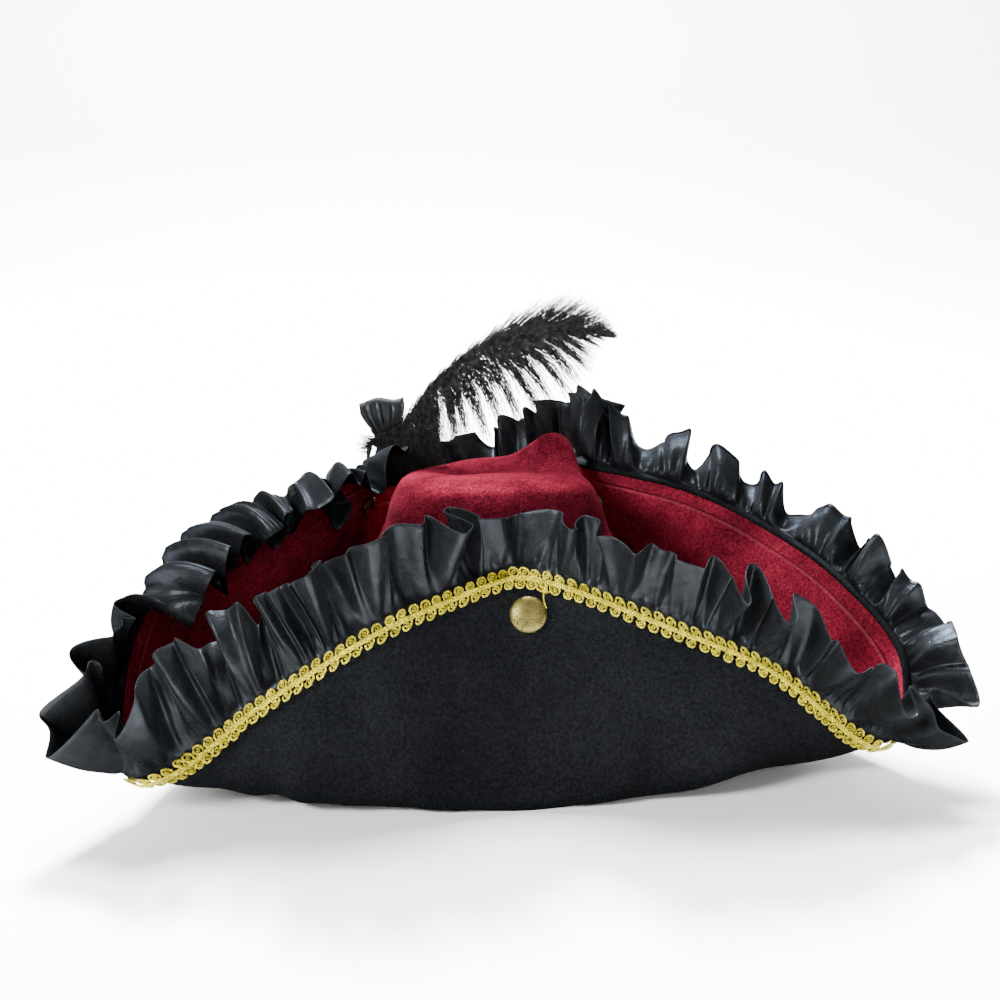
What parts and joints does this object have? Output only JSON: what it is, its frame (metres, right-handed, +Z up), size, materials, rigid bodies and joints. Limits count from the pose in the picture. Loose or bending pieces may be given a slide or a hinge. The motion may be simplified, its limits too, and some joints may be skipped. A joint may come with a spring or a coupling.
{
  "type": "tricorn hat",
  "caption": "Soft velvet tricorn hat: peaked crown, brim folded up into flaps, gathered satin ruffle, braid, snaps, plume and bow.",
  "frame": {"origin": "under the middle of the whole hat, in the plane it stands on", "axes": "+Z up; -Y is the back flap, the side nearest the camera in the picture; +Y is the front corner; +X the wearer's right"},
  "size_m": [0.3628, 0.3024, 0.1807],
  "materials": {
    "crown_velvet": "crushed velvet pile, crimson",
    "brim_velvet": "velvet pile, black",
    "lining_velvet": "crushed velvet pile, crimson",
    "ruffle_satin": "satin, black",
    "gold_braid": "metallic yarn, gold",
    "button_brass": "hammered, antique brass",
    "feather": "feather barbs, black",
    "bow_satin": "satin, black"
  },
  "bodies": {
    "root": {"crown": "crown_velvet", "brim": "brim_velvet", "brim_lining": "lining_velvet", "ruffle": "ruffle_satin", "braid": "gold_braid", "button_back": "button_brass", "button_right": "button_brass", "button_left": "button_brass", "plume": "feather", "bow": "bow_satin"}
  },
  "joints": []
}
